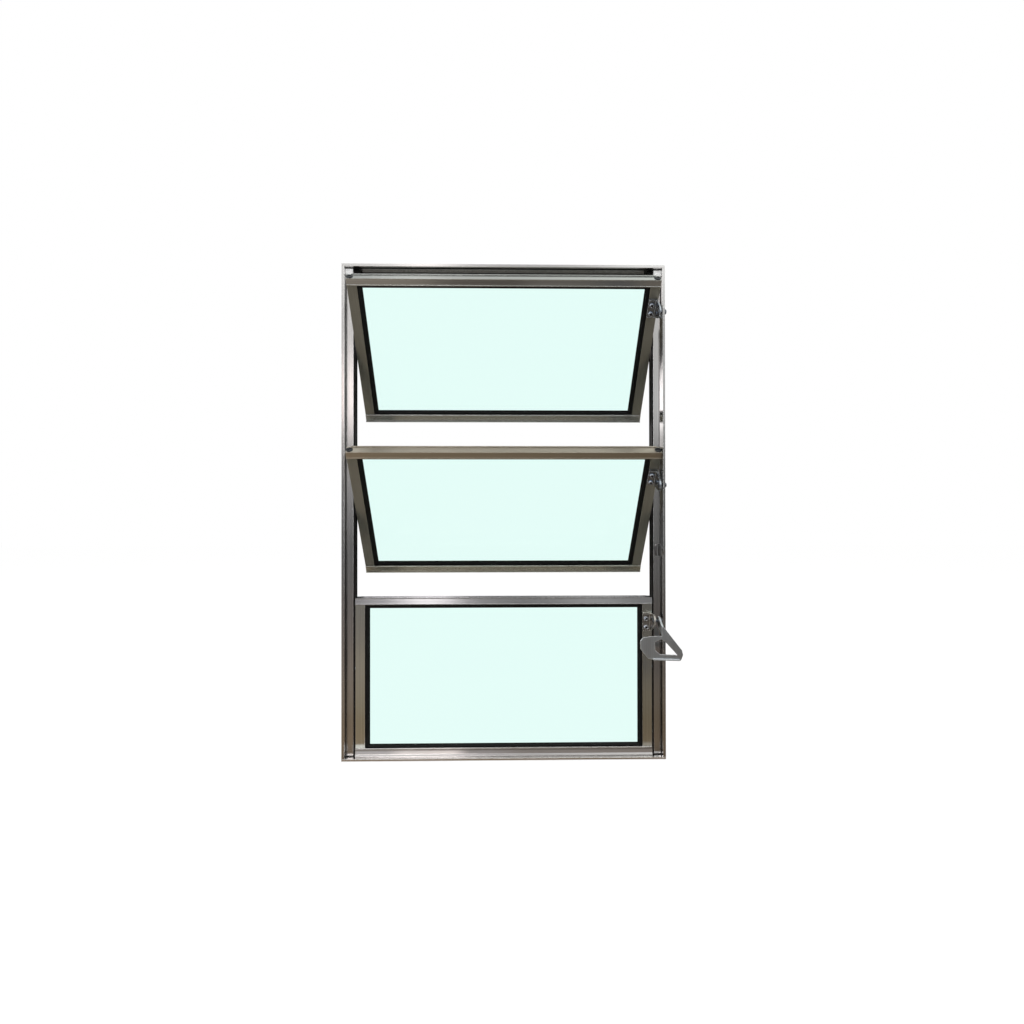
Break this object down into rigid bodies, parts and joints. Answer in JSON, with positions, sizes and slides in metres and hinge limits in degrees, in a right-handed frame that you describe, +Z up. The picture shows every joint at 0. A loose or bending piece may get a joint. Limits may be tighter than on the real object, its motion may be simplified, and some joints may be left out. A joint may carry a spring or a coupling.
{
  "type": "horizontal pivot window",
  "caption": "Slim aluminium window frame with glazed tilting sashes on horizontal pivots, coupled by a flat control bar and worked by a hand lever.",
  "frame": {"origin": "middle of the sill's flat underside", "axes": "+Z up the frame, +Y from the room to the outside, +X to the right seen from the room"},
  "size_m": [0.4037, 0.1428, 0.6],
  "materials": {
    "frame_aluminium": "polished",
    "sash_aluminium": "polished",
    "hardware_aluminium": "satin",
    "glass": "clear",
    "rubber": "matte",
    "steel": "bright"
  },
  "bodies": {
    "root": {"bar_catch": "hardware_aluminium", "control_bar": "hardware_aluminium", "hand_lever": "hardware_aluminium", "head": "frame_aluminium", "head_stop": "frame_aluminium", "left_jamb": "frame_aluminium", "left_jamb_seal": "rubber", "left_jamb_tube": "frame_aluminium", "left_stop_cap": "rubber", "lower_bottom_rail": "sash_aluminium", "lower_bracket": "hardware_aluminium", "lower_gasket": "rubber", "lower_glass": "glass", "lower_left_pivot": "steel", "lower_left_stile": "sash_aluminium", "lower_right_pivot": "steel", "lower_right_stile": "sash_aluminium", "lower_rivet": "steel", "lower_top_rail": "sash_aluminium", "middle_bottom_rail": "sash_aluminium", "middle_bracket": "hardware_aluminium", "middle_gasket": "rubber", "middle_glass": "glass", "middle_left_pivot": "steel", "middle_left_stile": "sash_aluminium", "middle_right_pivot": "steel", "middle_right_stile": "sash_aluminium", "middle_rivet": "steel", "middle_top_rail": "sash_aluminium", "right_jamb": "frame_aluminium", "right_jamb_seal": "rubber", "right_jamb_tube": "frame_aluminium", "right_stop_cap": "rubber", "sill": "frame_aluminium", "upper_bottom_rail": "sash_aluminium", "upper_bracket": "hardware_aluminium", "upper_gasket": "rubber", "upper_glass": "glass", "upper_left_pivot": "steel", "upper_left_stile": "sash_aluminium", "upper_right_pivot": "steel", "upper_right_stile": "sash_aluminium", "upper_rivet": "steel", "upper_top_rail": "sash_aluminium"}
  },
  "joints": []
}
